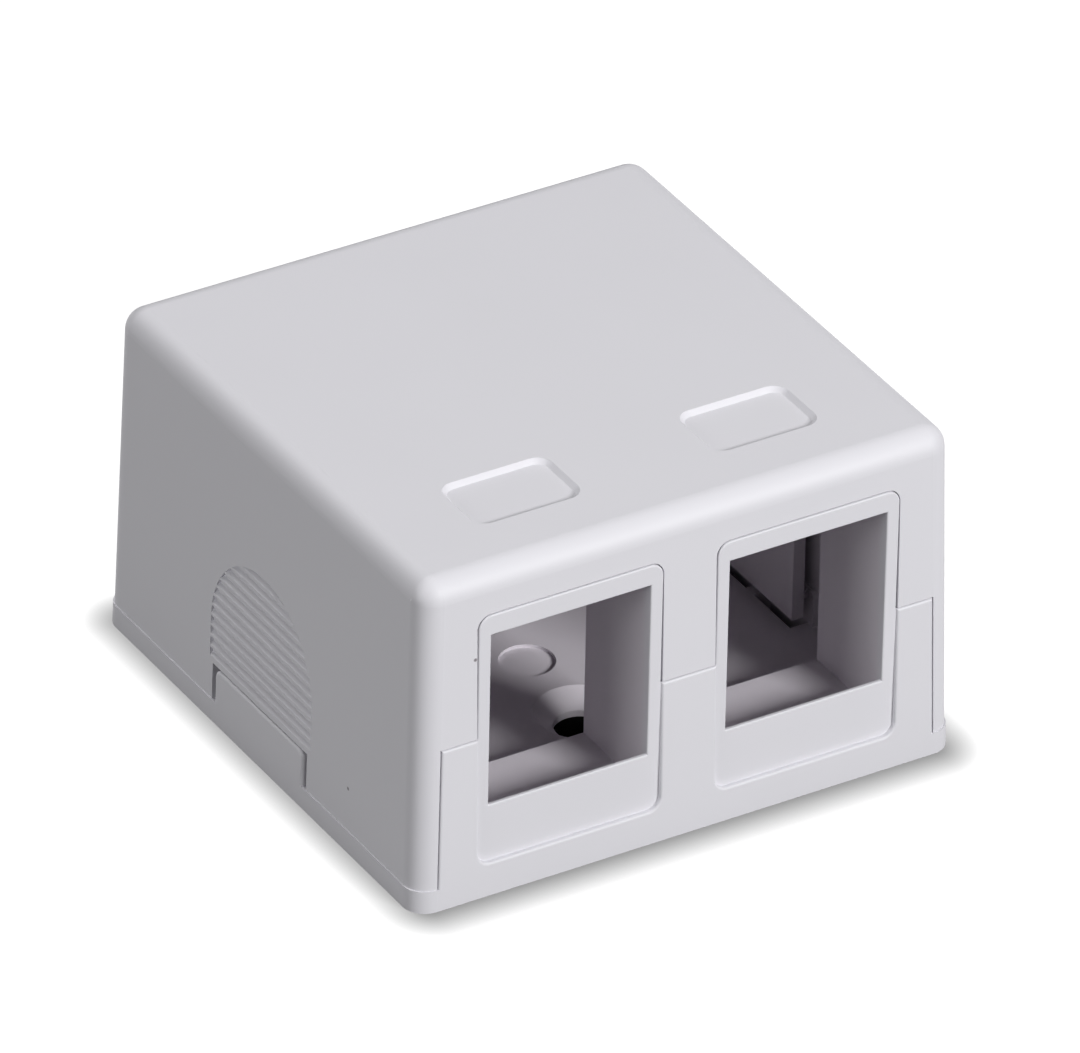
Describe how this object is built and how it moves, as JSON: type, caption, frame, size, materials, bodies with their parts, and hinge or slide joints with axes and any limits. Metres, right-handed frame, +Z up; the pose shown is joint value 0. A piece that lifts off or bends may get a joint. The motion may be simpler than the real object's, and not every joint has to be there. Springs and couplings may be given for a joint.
{
  "type": "surface mount jack box",
  "caption": "Low square box that screws to a surface and holds snap-in network jacks in two ports in its front, under a cover that clips over its base.",
  "frame": {"origin": "middle of the footprint, on the surface that the box is fixed to", "axes": "+Z up through the roof, -Y out of the jack ports, +X to the right seen from the front"},
  "size_m": [0.051, 0.051, 0.0305],
  "materials": {
    "base_plastic": "satin moulded ABS, light grey-white",
    "cover_plastic": "satin moulded ABS, light grey-white"
  },
  "bodies": {
    "base": {"base": "base_plastic"},
    "cover": {"cover": "cover_plastic"}
  },
  "joints": [
    {"name": "cover_lift", "type": "slide", "parent": "base", "child": "cover", "axis": [0, 0, 1], "range_m": [0, 0.032]}
  ]
}
